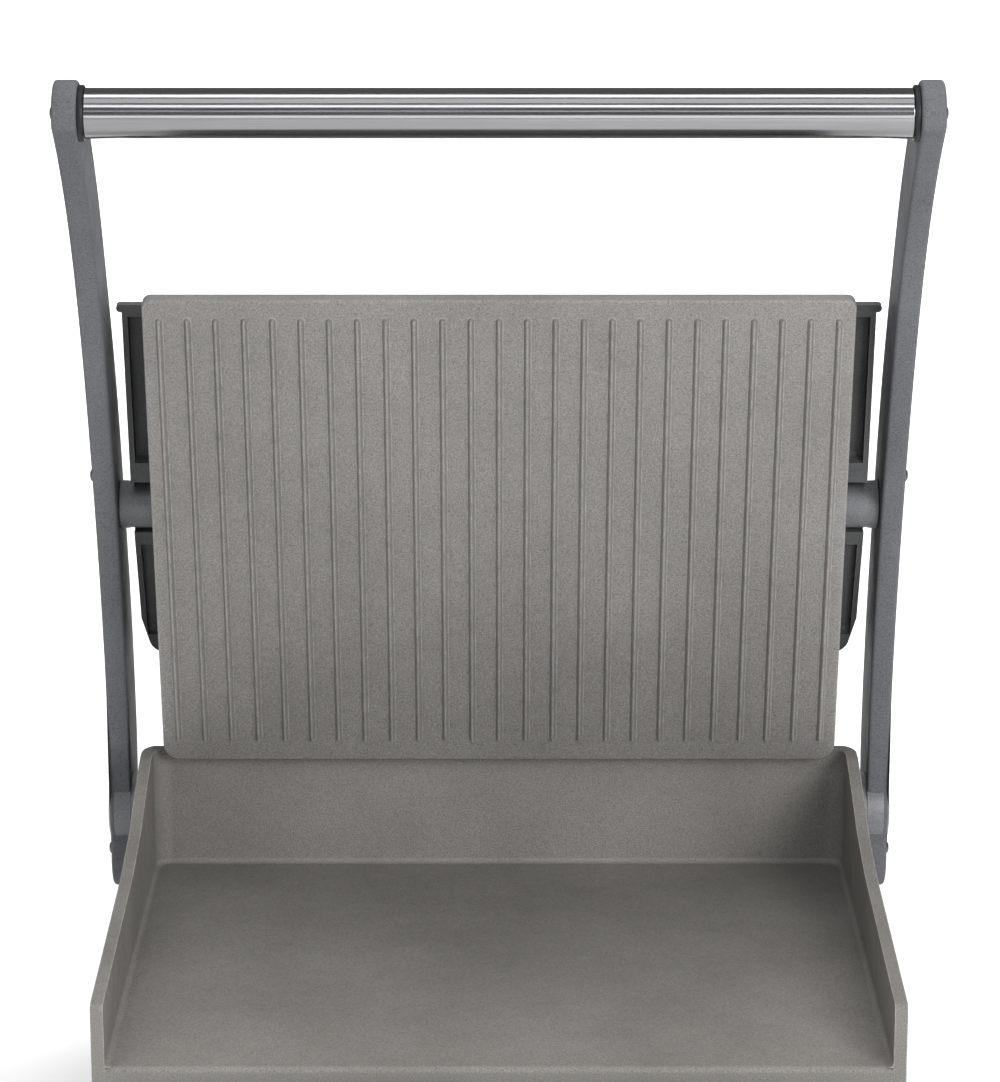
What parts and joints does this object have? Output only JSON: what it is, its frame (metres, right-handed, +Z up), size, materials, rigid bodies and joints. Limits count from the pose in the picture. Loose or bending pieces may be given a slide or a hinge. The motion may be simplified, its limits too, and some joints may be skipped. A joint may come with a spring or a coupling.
{
  "type": "contact grill",
  "caption": "Countertop contact grill with a flat lower plate in a high-backed tray, a ribbed upper plate floating on curved arms, and a tubular handle, shown open.",
  "frame": {"origin": "middle of the footprint on the worktop", "axes": "+Z up, front (open side) towards -Y, handle along X"},
  "size_m": [0.4464, 0.396, 0.5857],
  "materials": {
    "grill_iron": "fine cast texture, dry, light grey sheen",
    "arm_casting": "satin metallic grey coating over casting",
    "cover_casting": "dark satin grey casting",
    "handle_steel": "bright drawn tube",
    "black_plastic": "fine matt moulding",
    "stainless_sheet": "brushed along X",
    "housing_paint": "dark grey powder coat",
    "foot_rubber": "matt",
    "plain_steel": "zinc plated",
    "spring_steel": "oiled dark wire",
    "screw_steel": "turned stainless",
    "bush_bronze": "sintered bronze",
    "element_sheath": "heat-tinted tube",
    "insulation": "pressed fibre",
    "white_plastic": "heat-resistant moulding",
    "lamp_green": "clear moulding",
    "lamp_amber": "clear moulding",
    "rocker_plastic": "gloss moulding"
  },
  "bodies": {
    "base": {"lower_casting": "grill_iron", "rocker_frame": "black_plastic", "cable_gland": "black_plastic", "body_shell": "stainless_sheet", "front_fascia": "stainless_sheet", "base_pan": "stainless_sheet", "rear_housing": "housing_paint", "foot_fl": "foot_rubber", "foot_fr": "foot_rubber", "foot_rl": "foot_rubber", "foot_rr": "foot_rubber", "bracket_left": "plain_steel", "bracket_right": "plain_steel", "rail_left": "plain_steel", "rail_right": "plain_steel", "lower_clamp": "plain_steel", "spring_left": "spring_steel", "spring_right": "spring_steel", "foot_screws": "screw_steel", "casting_screws": "screw_steel", "fascia_screws": "screw_steel", "bush_left": "bush_bronze", "bush_right": "bush_bronze", "lower_element": "element_sheath", "lower_insulation": "insulation", "thermostat_body": "white_plastic", "terminal_block": "white_plastic", "lamp_power": "lamp_green", "lamp_ready": "lamp_amber"},
    "arms": {"arm_left": "arm_casting", "arm_right": "arm_casting", "hinge_shaft": "plain_steel", "stop_collar": "plain_steel", "handle_tube": "handle_steel", "handle_ring_left": "black_plastic", "handle_ring_right": "black_plastic", "handle_plug_left": "plain_steel", "handle_plug_right": "plain_steel", "handle_bolt_left": "screw_steel", "handle_bolt_right": "screw_steel", "arm_screws_left": "screw_steel", "arm_screws_right": "screw_steel", "trunnion_pin_left": "plain_steel", "trunnion_pin_right": "plain_steel"},
    "plate": {"upper_plate": "grill_iron", "upper_cover": "cover_casting", "trunnion_boss_left": "arm_casting", "trunnion_boss_right": "arm_casting", "upper_element": "element_sheath", "upper_clamp": "plain_steel", "upper_insulation": "insulation", "cover_screws": "screw_steel"},
    "drawer": {"drawer_tray": "stainless_sheet", "drawer_front": "stainless_sheet"},
    "knob": {"control_knob": "black_plastic"},
    "rocker": {"rocker_key": "rocker_plastic"}
  },
  "joints": [
    {"name": "arm_hinge", "type": "hinge", "parent": "base", "child": "arms", "pos_m": [0, 0.1591, 0.1444], "axis": [1, 0, 0], "range_deg": [0, 69.1], "stiffness_Nm_per_rad": 6.5, "springref_deg": -106},
    {"name": "plate_tilt", "type": "hinge", "parent": "arms", "child": "plate", "pos_m": [0, 0.1309, 0.3301], "axis": [1, 0, 0], "range_deg": [0, 7.37]},
    {"name": "drawer_slide", "type": "slide", "parent": "base", "child": "drawer", "axis": [0, -1, 0], "range_m": [0, 0.06]},
    {"name": "knob_turn", "type": "hinge", "parent": "base", "child": "knob", "pos_m": [0.12, -0.172, 0.046], "axis": [0, 1, 0], "range_deg": [0, 270]},
    {"name": "rocker_tilt", "type": "hinge", "parent": "base", "child": "rocker", "pos_m": [-0.12, -0.167, 0.046], "axis": [1, 0, 0], "range_deg": [0, 14]}
  ],
  "couplings": [
    {"joint": "plate_tilt", "follows": "arm_hinge", "ratio": 0.10637}
  ]
}
